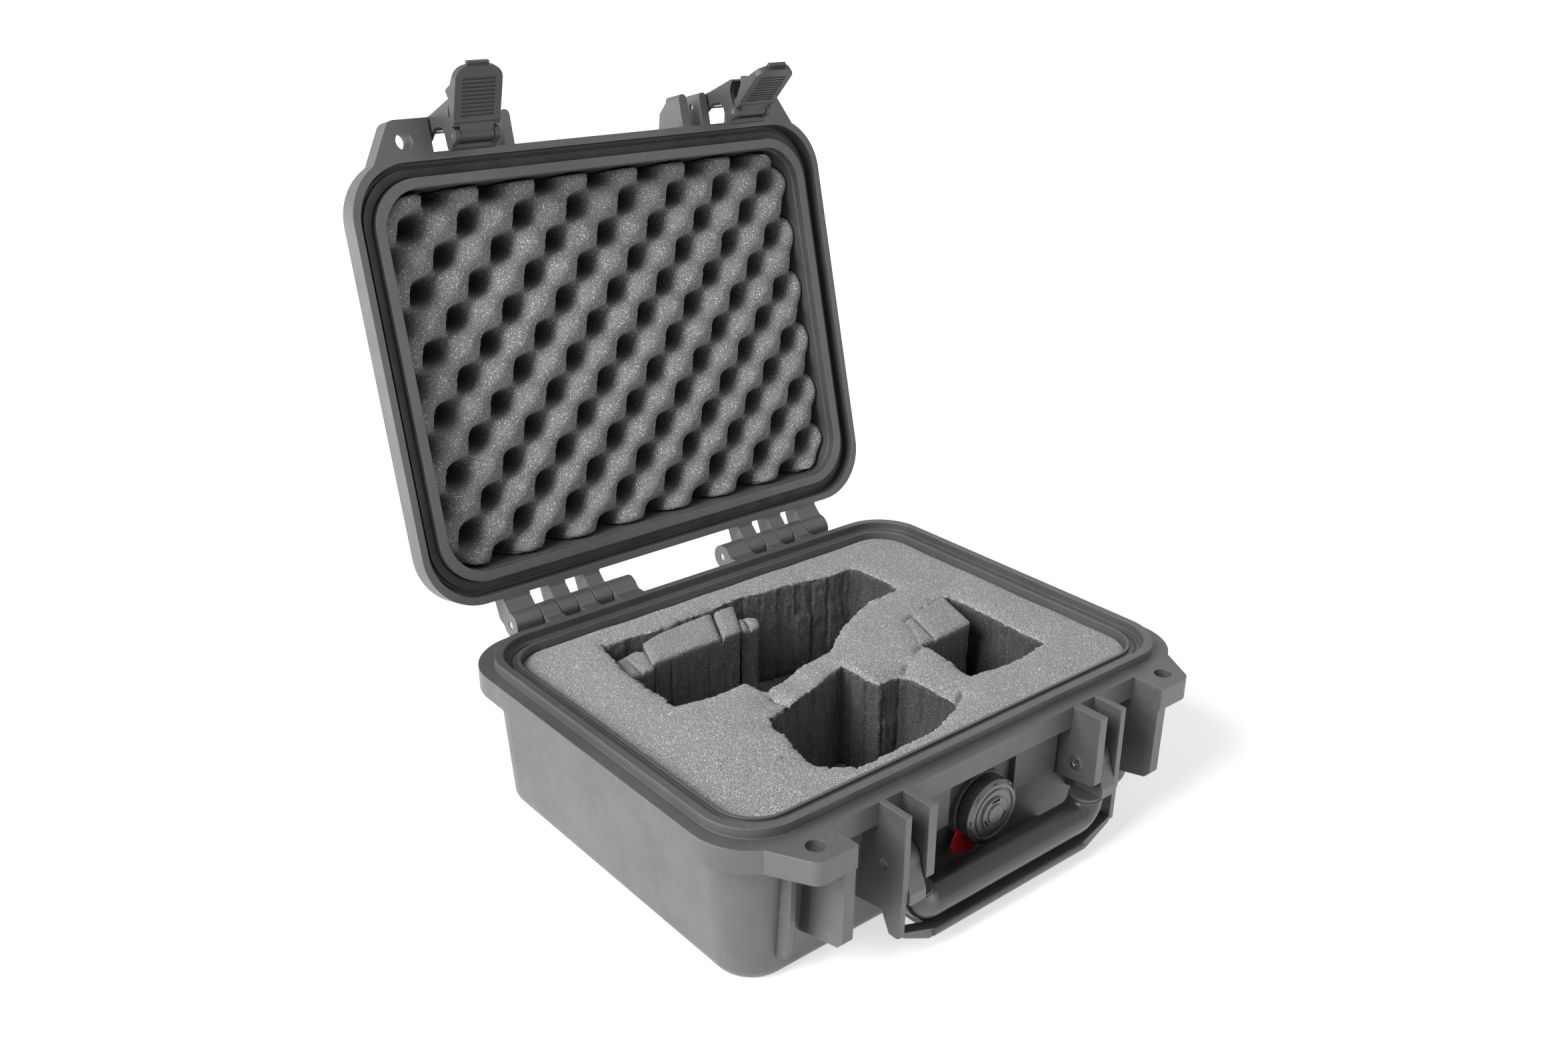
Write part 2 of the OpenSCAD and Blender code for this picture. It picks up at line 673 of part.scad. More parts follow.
module arm_outline() {
  translate([hpy, hpz]) circle(8);
  polygon([[hpy - 8, hpz], [hpy - 7.4, hpz + 3], [hpy + 7.4, hpz + 3], [hpy + 8, hpz], [gy + gr - 0.3, hpz - 13],
    [gy + gr - 0.3, leg_top], [gy - gr + 0.1, leg_top], [gy - gr + 0.1, hpz - 10]]);
}

module handle_core() {
  color([0.14, 0.14, 0.15]) difference() {
    union() {
      bent_rod(3.8, leg_top + collar);
      both() translate([gx, gy, leg_top]) cylinder(h = collar, r = gr - 0.3);
      both() wall_x(ax - arm_w / 2, ax + arm_w / 2) arm_outline();
    }
    both() bar_x(ax - 10, ax + 10, hpy, hpz, handle_pin_d / 2 + run);
  }
}

module handle_grip() {
  color([0.1, 0.1, 0.11]) difference() {
    bent_rod(gr, leg_top);
    bent_rod(3.8, leg_top + 20);
  }
}

base_shell();
base_latch_lugs();
base_handle_ribs();
base_foot_guard();
base_hinge_knuckles();
base_foam_pad();
base_foam();
foam_offcuts();
hinge_pins();
handle_pins();
valve_body();
valve_nut();
valve_seal();
valve_membrane();
valve_tag();
valve_knob();
lid_shell();
lid_latch_lugs();
lid_latch_ribs();
lid_hinge_knuckles();
lid_gasket();
lid_foam();
latch_pins();
latch_link_left();
lever_pin_left();
latch_lever_left();
latch_link_right();
lever_pin_right();
latch_lever_right();
handle_core();
handle_grip();
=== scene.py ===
"""Looks of the small protective case: materials for the CAD pieces, and the foam modelled over them."""
import json
import math

import bpy
import numpy as np
from mathutils import Matrix, Vector, noise
from mathutils.geometry import delaunay_2d_cdt


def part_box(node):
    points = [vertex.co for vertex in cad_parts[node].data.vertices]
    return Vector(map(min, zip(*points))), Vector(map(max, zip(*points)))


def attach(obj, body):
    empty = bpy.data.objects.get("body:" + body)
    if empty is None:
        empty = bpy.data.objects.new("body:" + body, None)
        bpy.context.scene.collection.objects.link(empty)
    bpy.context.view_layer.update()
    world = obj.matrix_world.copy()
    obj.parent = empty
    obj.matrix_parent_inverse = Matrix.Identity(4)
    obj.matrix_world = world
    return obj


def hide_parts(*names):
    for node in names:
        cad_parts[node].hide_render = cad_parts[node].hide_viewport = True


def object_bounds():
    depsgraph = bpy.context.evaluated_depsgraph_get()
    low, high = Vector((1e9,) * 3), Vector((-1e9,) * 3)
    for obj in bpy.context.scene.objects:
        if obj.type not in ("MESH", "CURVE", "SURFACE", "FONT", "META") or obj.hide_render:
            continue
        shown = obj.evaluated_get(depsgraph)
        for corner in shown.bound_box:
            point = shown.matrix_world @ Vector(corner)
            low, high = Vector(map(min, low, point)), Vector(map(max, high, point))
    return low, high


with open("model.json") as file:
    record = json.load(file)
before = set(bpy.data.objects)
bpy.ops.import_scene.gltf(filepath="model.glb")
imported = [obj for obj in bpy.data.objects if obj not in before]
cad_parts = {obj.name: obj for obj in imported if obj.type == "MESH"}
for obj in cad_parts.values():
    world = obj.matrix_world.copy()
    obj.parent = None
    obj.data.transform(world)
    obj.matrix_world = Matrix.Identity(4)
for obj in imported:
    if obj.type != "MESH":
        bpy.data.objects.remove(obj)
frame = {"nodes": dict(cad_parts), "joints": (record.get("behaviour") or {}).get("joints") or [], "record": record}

MM = 0.001
cad_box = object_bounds()
nodes = frame["nodes"]
joints = {j["name"]: j for j in frame["joints"]}


# ---- camera -------------------------------------------------------------------------------------
CAMERA_AT = Vector((-0.4025, -0.4432, 0.3894))
AZIMUTH = math.radians(-40.23)
ELEVATION = math.radians(22.92)
ROLL = math.radians(0.69)
LENS, SENSOR = 33.51, 36.0      # mm


def make_camera():
    cam = bpy.data.objects.new("camera", bpy.data.cameras.new("camera"))
    bpy.context.scene.collection.objects.link(cam)
    level = math.cos(ELEVATION)
    back = Vector((math.sin(AZIMUTH) * level, -math.cos(AZIMUTH) * level, math.sin(ELEVATION)))
    side = (-back).cross(Vector((0, 0, 1))).normalized()
    rise = side.cross(-back)
    right = math.cos(ROLL) * side + math.sin(ROLL) * rise
    up = -math.sin(ROLL) * side + math.cos(ROLL) * rise
    m = Matrix((right, up, back)).transposed().to_4x4()
    m.translation = CAMERA_AT
    cam.matrix_world = m
    cam.data.lens, cam.data.sensor_width, cam.data.sensor_fit = LENS, SENSOR, "HORIZONTAL"
    cam.data.clip_start, cam.data.clip_end = 0.01, 100
    bpy.context.scene.camera = cam


make_camera()


# ---- node helpers -------------------------------------------------------------------------------
FLAT, SHARP = 0.97, 0.55        # cosines between rounded and true normal, on a flat and on an edge


class Graph:
    """A material's nodes, with short calls for the few kinds used here."""

    def __init__(self, name):
        self.mat = bpy.data.materials.new(name)
        self.mat.use_nodes = True
        self.tree = self.mat.node_tree
        self.shader = self.tree.nodes["Principled BSDF"]
        self.coords = self.add("ShaderNodeTexCoord").outputs["Object"]

    def add(self, kind, **values):
        n = self.tree.nodes.new(kind)
        for k, v in values.items():
            setattr(n, k, v)
        return n

    def link(self, a, b):
        self.tree.links.new(a, b)

    def feed(self, socket, value):
        if isinstance(value, bpy.types.NodeSocket):
            self.link(value, socket)
        else:
            socket.default_value = value

    def noise(self, scale, detail=2.0, rough=0.5):
        n = self.add("ShaderNodeTexNoise")
        self.link(self.coords, n.inputs["Vector"])
        n.inputs["Scale"].default_value = scale
        n.inputs["Detail"].default_value = detail
        n.inputs["Roughness"].default_value = rough
        return n.outputs["Fac"]

    def cells(self, scale, out="Distance"):
        n = self.add("ShaderNodeTexVoronoi")
        self.link(self.coords, n.inputs["Vector"])
        n.inputs["Scale"].default_value = scale
        return n.outputs[out]

    def ramp(self, fac, *stops):
        n = self.add("ShaderNodeValToRGB")
        self.link(fac, n.inputs["Fac"])
        el = n.color_ramp.elements
        while len(el) < len(stops):
            el.new(0.5)
        for e, (at, c) in zip(el, stops):
            e.position = at
            e.color = (*c, 1) if isinstance(c, (tuple, list)) else (c, c, c, 1)
        return n.outputs["Color"]

    def span(self, value, start, end, low, high):
        """The value's stretch from start to end, turned into low to high and held there beyond."""
        n = self.add("ShaderNodeMapRange")
        self.link(value, n.inputs["Value"])
        for key, v in (("From Min", start), ("From Max", end), ("To Min", low), ("To Max", high)):
            n.inputs[key].default_value = v
        return n.outputs["Result"]

    def math(self, op, a, b):
        n = self.add("ShaderNodeMath", operation=op)
        self.feed(n.inputs[0], a)
        self.feed(n.inputs[1], b)
        return n.outputs[0]

    def times(self, a, b):
        return self.math("MULTIPLY", a, b)

    def mix(self, fac, a, b, blend="MIX"):
        n = self.add("ShaderNodeMix", data_type="RGBA", blend_type=blend)
        self.feed(n.inputs["Factor"], fac)
        for key, v in (("A", a), ("B", b)):
            s = next(x for x in n.inputs if x.name == key and x.type == "RGBA")
            self.feed(s, v if isinstance(v, bpy.types.NodeSocket) else (*v, 1))
        return next(x for x in n.outputs if x.type == "RGBA")

    def bump(self, height, distance, strength, normal=None):
        n = self.add("ShaderNodeBump")
        n.inputs["Strength"].default_value = strength
        n.inputs["Distance"].default_value = distance
        self.link(height, n.inputs["Height"])
        if normal:
            self.link(normal, n.inputs["Normal"])
        return n.outputs["Normal"]

    def rounded(self, radius):
        n = self.add("ShaderNodeBevel", samples=4)
        n.inputs["Radius"].default_value = radius
        return n.outputs["Normal"]

    def edges(self, radius):
        """1 along edges and 0 on flats: where the rounded normal leaves the true one."""
        dot = self.add("ShaderNodeVectorMath", operation="DOT_PRODUCT")
        self.link(self.rounded(radius), dot.inputs[0])
        self.link(self.add("ShaderNodeNewGeometry").outputs["Normal"], dot.inputs[1])
        return self.span(dot.outputs["Value"], FLAT, SHARP, 0.0, 1.0)

    def shade(self, color, low):
        """Painted shade: the colour times `low` where the mesh's own painted-shade value is high, and darker still
        at 1.
        """
        painted_shade = self.add("ShaderNodeAttribute", attribute_name="painted_shade").outputs["Fac"]
        return self.mix(1.0, color, self.ramp(painted_shade, (0.0, 1.0), (0.62, low), (1.0, 0.4 * low)), "MULTIPLY")

    def done(self, color, rough, normal=None, **sockets):
        self.feed(self.shader.inputs["Base Color"], color)
        self.feed(self.shader.inputs["Roughness"], rough)
        if normal:
            self.link(normal, self.shader.inputs["Normal"])
        for k, v in sockets.items():
            self.shader.inputs[k].default_value = v
        return self.mat


def scaled(color, times):
    return tuple(min(1, times * x) for x in color)


# ---- materials ----------------------------------------------------------------------------------
WEAR_WIDTH = 0.9 * MM           # worn strip along a moulded edge
MOULD_RADIUS = 0.55 * MM        # edges look rounded by this much
PORES = 1800                    # foam pores per metre
GLINTS = 1500                   # foam cells per metre, of which a few get a painted glint
# colour of the painted glints on the foam
PAINTED_GLINT_COLOR = (0.9, 0.92, 0.94)
GLINT_RARE = 0.86               # share of those cells that stay dull
GLINT_SIZE = 0.4                # part of a cell that gets the painted glint


def moulded(name, dark, light, rough=(0.42, 0.6), grain=0.35, wear=0.5, scale=1.0, specular=0.5):
    """Injection-moulded plastic: fine spark-eroded grain, hazy rubbed patches and pale worn edges."""
    g = Graph(name)
    haze = g.noise(9 * scale, 4, 0.6)
    fine = g.noise(1500, 3, 0.6)
    scratch = g.noise(160 * scale, 5, 0.7)
    color = g.ramp(haze, (0.3, dark), (0.72, light))
    speck = g.ramp(scratch, (0.56, 0.0), (0.75, 1.0))
    color = g.mix(g.times(speck, 0.35), color, scaled(light, 1.7))
    edge = g.times(g.edges(WEAR_WIDTH), g.ramp(g.noise(60, 4, 0.6), (0.35, 0.25), (0.7, 1.0)))
    color = g.mix(g.times(edge, wear), color, scaled(light, 3.2))
    gloss = g.span(g.noise(26 * scale, 5, 0.65), 0.3, 0.7, *rough)
    normal = g.bump(fine, 0.12 * MM, grain, g.rounded(MOULD_RADIUS))
    return g.done(color, gloss, normal, **{"Specular IOR Level": specular})


def foam(name, dark, light, painted_glint, pit, painted_shade):
    """Open-cell foam: dark pores, grey struts, painted glints on a few cells, and painted shade down in hollows
    and pits.
    """
    g = Graph(name)
    pores = g.cells(PORES)
    tone = g.noise(36, 3, 0.6)
    color = g.ramp(pores, (0.15, light), (0.6, dark))
    patches = g.times(g.ramp(tone, (0.3, 0.0), (0.75, 1.0)), 0.3)
    color = g.mix(patches, color, scaled(light, 0.6))
    split = g.add("ShaderNodeSeparateColor")
    g.link(g.cells(GLINTS, "Color"), split.inputs["Color"])
    # painted glints: a few cells coloured near white, standing in for light caught by the foam
    lit = g.math("GREATER_THAN", split.outputs[0], GLINT_RARE)
    near = g.math("LESS_THAN", g.cells(GLINTS), GLINT_SIZE)
    color = g.mix(g.times(g.times(lit, near), painted_glint), color, PAINTED_GLINT_COLOR)
    # painted shade: darker where the mesh says the foam lies down in a hollow or pit
    color = g.shade(color, painted_shade)
    height = g.math("ADD", g.times(pores, -1.0), g.times(g.noise(420, 3, 0.7), 0.8))
    return g.done(color, g.ramp(tone, (0.3, 0.78), (0.7, 0.95)), g.bump(height, 0.4 * MM, pit),
                  **{"Specular IOR Level": 0.25, "Sheen Weight": 0.12, "Sheen Roughness": 0.5})


def rubber(name):
    g = Graph(name)
    color = g.ramp(g.noise(40, 4, 0.6), (0.3, 0.008), (0.75, 0.022))
    rough = g.ramp(g.noise(90, 3), (0.3, 0.45), (0.7, 0.62))
    return g.done(color, rough, g.bump(g.noise(900, 2), 0.05 * MM, 0.3))


def steel(name):
    g = Graph(name)
    color = g.ramp(g.noise(300, 4, 0.6), (0.3, (0.3, 0.3, 0.31)), (0.7, (0.55, 0.55, 0.56)))
    rough = g.ramp(g.noise(500, 3), (0.3, 0.25), (0.7, 0.45))
    return g.done(color, rough, g.bump(g.noise(1400, 2), 0.03 * MM, 0.4), Metallic=1.0)


def plain(name, low, high, rough):
    """A small smooth piece: soft tone changes and a faint grain."""
    g = Graph(name)
    return g.done(g.ramp(g.noise(60, 4, 0.6), (0.3, low), (0.7, high)),
                  g.ramp(g.noise(120, 3), (0.3, rough[0]), (0.7, rough[1])),
                  g.bump(g.noise(900, 2), 0.04 * MM, 0.3, g.rounded(0.3 * MM)))


LOOKS = {
    "shell": moulded("shell_plastic", (0.042, 0.042, 0.044), (0.078, 0.078, 0.08), specular=0.9),
    "latch": moulded("latch_plastic", (0.03, 0.03, 0.032), (0.056, 0.056, 0.058), (0.38, 0.55),
                     wear=0.35, scale=2.0),
    "grip": moulded("grip_plastic", (0.018, 0.018, 0.019), (0.034, 0.034, 0.035), (0.24, 0.4),
                    grain=0.12, wear=0.2, scale=2.0),
    "knob": moulded("knob_plastic", (0.034, 0.034, 0.035), (0.056, 0.056, 0.057), (0.2, 0.34),
                    grain=0.08, scale=3.0, specular=0.9),
    # Foam looks: dark and light colour, strength of the painted glints, pit bump, and how dark the painted shade
    # gets.
    "foam": foam("foam_grey", (0.18, 0.18, 0.183), (0.5, 0.5, 0.505), 0.7, 0.55, 0.45),
    "foam_dark": foam("foam_torn", (0.15, 0.15, 0.152), (0.45, 0.45, 0.455), 0.5, 0.7, 0.45),
    "crate": foam("foam_crate", (0.17, 0.17, 0.173), (0.52, 0.52, 0.525), 1.0, 0.55, 0.3),
    "seal": rubber("seal_rubber"),
    "pin_steel": steel("pin_metal"),
    "tag": plain("tag_plastic", (0.62, 0.012, 0.02), (0.78, 0.03, 0.04), (0.3, 0.45)),
    "membrane": plain("membrane_cloth", (0.6, 0.6, 0.58), (0.78, 0.78, 0.75), (0.7, 0.85)),
}


# ---- CAD pieces ---------------------------------------------------------------------------------
slot_of = {s["node"]: s["material_slot"] for s in frame["record"]["subparts"]}
SOFT = ("base_foam", "base_foam_pad", "foam_offcuts", "lid_foam")
for node, obj in nodes.items():
    if node not in SOFT:
        for s in obj.material_slots:
            s.material = LOOKS[slot_of[node]]


# ---- outlines -----------------------------------------------------------------------------------
NORMAL_REACH = 3                # samples to either side that give an outline's normal
CHUNK = 4000                    # points measured at a time, to spare memory
NO_SOURCE = 10 ** 9             # puts points that came from no input after all the others


def fbm(x, y, z, octaves=3):
    return noise.fractal(Vector((x, y, z)), 1.0, 2.0, octaves)


def area(loop):
    """Signed area: positive when the outline runs anticlockwise."""
    x, y = loop[:, 0], loop[:, 1]
    return 0.5 * np.sum(x * np.roll(y, -1) - np.roll(x, -1) * y)


def top_loops(obj):
    """A CAD node's highest flat face as (height, outlines): largest first, anticlockwise."""
    co = np.array([v.co for v in obj.data.vertices])
    top = co[:, 2].max()
    keys = [tuple(np.round(c[:2] * 1e6).astype(int)) for c in co]     # places to the micrometre
    edges = {}
    for p in obj.data.polygons:
        if all(co[v, 2] > top - 2e-6 for v in p.vertices):
            ks = [keys[v] for v in p.vertices]
            for a, b in zip(ks, ks[1:] + ks[:1]):
                if (b, a) in edges:
                    del edges[(b, a)]
                else:
                    edges[(a, b)] = True
    after = {}
    for a, b in edges:
        after.setdefault(a, []).append(b)
    loops = []
    while after:
        start = next(iter(after))
        loop, at = [start], after[start].pop()
        while at != start:
            loop.append(at)
            at = after[at].pop()
        after = {k: v for k, v in after.items() if v}
        loops.append(np.array(loop, float) * 1e-6)
    loops = [loop if area(loop) > 0 else loop[::-1] for loop in loops]
    return top, sorted(loops, key=area, reverse=True)


def resample(loop, step):
    closed = np.vstack([loop, loop[:1]])
    seg = np.linalg.norm(np.diff(closed, axis=0), axis=1)
    s = np.concatenate([[0], np.cumsum(seg)])
    n = max(8, int(s[-1] / step))
    at = np.arange(n) * s[-1] / n
    return np.column_stack([np.interp(at, s, closed[:, k]) for k in (0, 1)])


def smoothed(loop, times):
    for _ in range(times):
        loop = 0.5 * loop + 0.25 * (np.roll(loop, 1, 0) + np.roll(loop, -1, 0))
    return loop


def normals(loop):
    """Unit normals pointing out of an anticlockwise outline."""
    d = np.roll(loop, -NORMAL_REACH, 0) - np.roll(loop, NORMAL_REACH, 0)
    n = np.column_stack([d[:, 1], -d[:, 0]])
    return n / np.maximum(np.linalg.norm(n, axis=1), 1e-12)[:, None]


def length_of(loop):
    return float(np.linalg.norm(np.roll(loop, -1, axis=0) - loop, axis=1).sum())


def inside(pts, loop):
    x, y = pts[:, 0][:, None], pts[:, 1][:, None]
    ax, ay = loop[:, 0], loop[:, 1]
    bx, by = np.roll(ax, -1), np.roll(ay, -1)
    crosses = (ay > y) != (by > y)
    with np.errstate(divide="ignore", invalid="ignore"):
        hit = x < (bx - ax) * (y - ay) / (by - ay) + ax
    return (crosses & hit).sum(1) % 2 == 1


def distance(pts, loop):
    """Distance to an outline and the nearest sample's index."""
    best, nearest = np.full(len(pts), 1e9), np.zeros(len(pts), int)
    for i in range(0, len(pts), CHUNK):
        d = np.linalg.norm(pts[i:i + CHUNK, None] - loop[None], axis=2)
        nearest[i:i + CHUNK] = d.argmin(1)
        best[i:i + CHUNK] = d.min(1)
    return best, nearest


def thinned(pts, gap):
    """The points without those closer than the gap to an earlier one."""
    taken, kept = {}, []
    for i in range(len(pts)):
        key = (int(pts[i, 0] / gap), int(pts[i, 1] / gap))
        around = [(key[0] + dx, key[1] + dy) for dx in (-1, 0, 1) for dy in (-1, 0, 1)]
        near = [taken[k] for k in around if k in taken]
        if all(np.hypot(*(pts[i] - pts[j])) > gap for j in near):
            taken[key] = i
            kept.append(i)
    return pts[kept]


def fill(outer, holes, extra):
    """Triangles that fill an outline with holes through the extra points: (points, triangles)."""
    loops = [outer, *holes]
    pts = np.vstack([*loops, extra]) if len(extra) else np.vstack(loops)
    edges, base = [], 0
    for loop in loops:
        edges += [(base + i, base + (i + 1) % len(loop)) for i in range(len(loop))]
        base += len(loop)
    out = delaunay_2d_cdt([Vector(p) for p in pts], edges, [], 0, 1e-7)
    verts, faces = np.array([v[:] for v in out[0]]), np.array(out[2])
    source = [min(ids) if ids else NO_SOURCE for ids in out[3]]
    order = np.argsort(source, kind="stable")
    back = np.empty(len(order), int)
    back[order] = np.arange(len(order))
    verts, faces = verts[order], back[faces]
    if sorted(source)[:base] != list(range(base)):
        raise RuntimeError("outline points were merged")
    middles = verts[faces].mean(1)
    keep = inside(middles, outer)
    for hole in holes:
        keep &= ~inside(middles, hole)
    return verts, faces[keep]


# ---- torn foam ----------------------------------------------------------------------------------
CUBE = 11 * MM                  # side of a pluck-foam cube
SLIT_WIDTH = 0.00055
SAG = 1.3 * MM                  # how far a hollow's rim sinks
POINT_GAP = 0.75 * MM           # least room between two points of a top


def new_object(name, verts, faces, painted_shade):
    """painted shade, per vertex: from 0 on open faces to 1 far inside a hollow."""
    me = bpy.data.meshes.new(name)
    me.from_pydata([tuple(v) for v in verts], [], [tuple(f) for f in faces])
    me.attributes.new("painted_shade", "FLOAT", "POINT").data.foreach_set("value", np.array(painted_shade, np.float32))
    me.validate()
    me.polygons.foreach_set("use_smooth", [True] * len(me.polygons))
    me.update()
    o = bpy.data.objects.new(name, me)
    bpy.context.scene.collection.objects.link(o)
    return o


def cube_steps(s, z, seed):
    """Torn pluck-foam walls: how far a cube's face stands in or out, and how open the slit there is."""
    cell = math.floor(s / CUBE)
    t = s / CUBE - cell
    level = math.floor(z / (2.3 * CUBE) + 0.4 * noise.noise(Vector((cell * 3.7, seed, 0))))
    step = noise.cell(Vector((cell * 1.31 + seed, level * 2.17, seed * 0.7))) - 0.5
    slit = math.exp(-(min(t, 1 - t) * CUBE / SLIT_WIDTH) ** 2)
    torn = 0.4 + 0.6 * noise.cell(Vector((cell + 0.5 + seed, 5.3, 1.7)))
    return step, slit * torn


def top_points(outer, hollows, slits, spacing, seed):
    """Loose points over a block's top, closer together near its rims and slits."""
    lo, hi = outer.min(0), outer.max(0)
    xs, ys = np.arange(lo[0], hi[0], spacing), np.arange(lo[1], hi[1], spacing)
    grid = np.array([(x, y) for x in xs for y in ys])
    rng = np.random.default_rng(int(seed * 10) + 3)
    grid = grid + rng.uniform(-0.3, 0.3, grid.shape) * spacing
    rings = []
    for loop, side, first in [(outer, -1, 0.5 * MM), *((h, 1, 0.6 * MM) for h in hollows)]:
        away = normals(loop) * side
        for d in (first, 1.5 * MM, 2.8 * MM):
            rings.append((loop + away * d)[:: (1 if d < 1 * MM else 2)])
    for start, end, _ in slits:
        start, end = np.array(start) * MM, np.array(end) * MM
        along = (end - start) / np.linalg.norm(end - start)
        line = start + np.arange(0, np.linalg.norm(end - start), 0.8 * MM)[:, None] * along
        rings += [line + np.array([-along[1], along[0]]) * w * MM for w in (0, -0.8, 0.8)]
    pts = np.vstack([*rings, grid])
    keep = inside(pts, outer) & (distance(pts, outer)[0] > 0.42 * MM)
    for h in hollows:
        keep &= ~inside(pts, h) & (distance(pts, h)[0] > 0.5 * MM)
    return thinned(pts[keep], POINT_GAP)


def top_heights(verts, outer, hollows, high, seed, wave, slits, dips):
    """Heights of a block's top: sunk along its rims, cut by slits, worn by dips and gently uneven."""
    z = np.full(len(verts), high)
    z -= 1.1 * MM * np.exp(-distance(verts, outer)[0] / (0.9 * MM))
    for k, hollow in enumerate(hollows):
        d, nearest = distance(verts, hollow)
        n, length = len(hollow), length_of(hollow)
        along = [length * a / n for a in nearest]
        soft = np.array([0.35 + 0.65 * max(0.0, 0.5 + 1.2 * noise.noise(Vector((s / 0.022, seed, k))))
                         for s in along])
        slit = np.array([cube_steps(s, high, seed + 17 * k)[1] for s in along])
        z -= SAG * soft * np.exp(-d / (3.4 * MM)) + 0.5 * MM * np.exp(-d / (1.0 * MM))
        z -= slit * 1.5 * MM * np.exp(-d / (2.6 * MM))
    for start, end, depth in slits:
        start, end = np.array(start) * MM, np.array(end) * MM
        t = np.clip(((verts - start) @ (end - start)) / ((end - start) @ (end - start)), 0, 1)
        d = np.linalg.norm(verts - (start + t[:, None] * (end - start)), axis=1)
        z -= depth * MM * np.exp(-(d / (0.65 * MM)) ** 2) + 0.25 * depth * MM * np.exp(-d / (2 * MM))
    for x, y, radius, depth in dips:
        d = np.linalg.norm(verts - np.array((x, y)) * MM, axis=1)
        z -= depth * MM * np.exp(-(d / (radius * MM)) ** 2)
    z += wave * np.array([fbm(v[0] / 0.03, v[1] / 0.03, seed, 2) for v in verts])
    z += 0.1 * MM * np.array([fbm(v[0] / 0.0022, v[1] / 0.0022, seed + 4, 2) for v in verts])
    return np.minimum(z, high + 0.2 * MM)


def torn_block(name, outer, holes, low, high, seed, rag=0.55 * MM, taper=0.0, step=0.9 * MM,
               spacing=2.4 * MM, cut_outer=False, rows=24, wave=0.5 * MM, slits=(), dips=()):
    """A foam block with torn-out hollows: soft sunken rims, ragged walls with slits, uneven top.

    slits: (start, end, depth) of cuts across the top, in mm.
    dips: (x, y, radius, depth) of worn-down places, in mm.
    """
    outer = smoothed(resample(outer, step), 2)
    holes = [smoothed(resample(h, step), 3) for h in holes]
    out_of = [normals(h) for h in holes]

    def wall_offset(i, z, k, length, n):
        """How far hollow k's wall stands into the foam, at sample i of n and height z."""
        s = length * i / n
        face, slit = cube_steps(s, z, seed + 17 * k)
        big = fbm(s / 0.016, z / 0.02, seed + k * 3.1)
        small = fbm(s / 0.0032, z / 0.004, seed + 9 + k)
        return rag * (1.5 * big + 1.3 * small + 1.2 * face) + slit * 2.2 * MM

    ragged = []
    for k, h in enumerate(holes):
        off = np.array([wall_offset(i, high, k, length_of(h), len(h)) for i in range(len(h))])
        ragged.append(h + out_of[k] * off[:, None])

    plan, top_faces = fill(outer, ragged, top_points(outer, ragged, slits, spacing, seed))
    heights = top_heights(plan, outer, ragged, high, seed, wave, slits, dips)
    points = [(*p, z) for p, z in zip(plan, heights)]
    faces = [tuple(f) for f in top_faces]
    left_facing_shade = [0.0] * len(points)      # how much a wall faces left; walls facing left get painted shade
    bottoms, base = [], 0
    for k, loop in enumerate([outer, *ragged]):
        n, length = len(loop), length_of(loop)
        out = normals(loop)
        ring = list(range(base, base + n))
        for r in range(1, rows + 1):
            t = (r / rows) ** (1.4 if k else 1.2)
            lower = []
            for i in range(n):
                z = points[base + i][2] * (1 - t) + low * t
                if k:
                    p = holes[k - 1][i] + out_of[k - 1][i] * wall_offset(i, z, k - 1, length, n)
                else:
                    p = loop[i] - out[i] * (taper * t)
                if cut_outer and not k:
                    s = length * i / n
                    slit = cube_steps(s, z, seed + 5)[1]
                    torn = rag * (0.9 + 1.1 * fbm(s / 0.003, z / 0.004, seed)) + slit * 1.6 * MM
                    p = p - out[i] * torn * min(1, 3 * t)
                lower.append(len(points))
                points.append((p[0], p[1], z))
                left_facing_shade.append(out[i][0] if k else -out[i][0])
            for i in range(n):
                j = (i + 1) % n
                quad = (ring[i], lower[i], lower[j], ring[j])
                faces.append(quad[::-1] if k else quad)
            ring = lower
        bottoms.append(ring)
        base += n

    loops = [np.array([points[i][:2] for i in ring]) for ring in bottoms]
    under, under_faces = fill(loops[0], loops[1:], np.zeros((0, 2)))
    ids = [i for ring in bottoms for i in ring]
    if len(under) > len(ids):           # the fill had to add points, so the bottom gets its own
        print("foam bottom", name, "has", len(under) - len(ids), "extra points")
        ids = list(range(len(points), len(points) + len(under)))
        points += [(p[0], p[1], low) for p in under]
        left_facing_shade += [0.0] * len(under)
    faces += [tuple(ids[i] for i in f[::-1]) for f in under_faces]
    # Painted shade: darker the further a point lies below the top, and on walls that face left; the top gets none.
    below = high - np.array([p[2] for p in points])
    painted_shade = 0.62 * np.clip(0.35 + below / (6 * MM), 0, 1) + 0.38 * np.clip(left_facing_shade, 0, 1)
    painted_shade[:len(plan)] = 0
    return new_object(name, points, faces, painted_shade)


def finish_piece(obj, node, body, slot, look=None):
    obj.data.materials.append(LOOKS[look or slot])
    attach(obj, body)
    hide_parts(node)
    return obj


# base foam with three torn hollows; DIPS and SLITS as torn_block takes them
DIPS = [(-46, -16, 9, 2.2), (-27, -10, 9, 1.6), (-8, -6, 8, 1.2), (18, -30, 9, 1.2), (20, -62, 9, 1.6),
        (-60, -30, 8, 1.4)]
SLITS = [((-41, -21), (-44, -12), 2.5), ((16, -33), (24, -28), 2), ((17, -66), (25, -62), 2.5),
         ((-66, -58), (-73, -54), 2), ((41, -20), (34, -23), 2), ((52.5, 2.5), (62, 5.5), 1.5)]
base_top, base_loops = top_loops(nodes["base_foam"])
block = torn_block("foam_block", base_loops[0], base_loops[1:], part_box("base_foam")[0].z, base_top, 2.0,
                   taper=1.5 * MM, slits=SLITS, dips=DIPS)
finish_piece(block, "base_foam", "base", "foam")

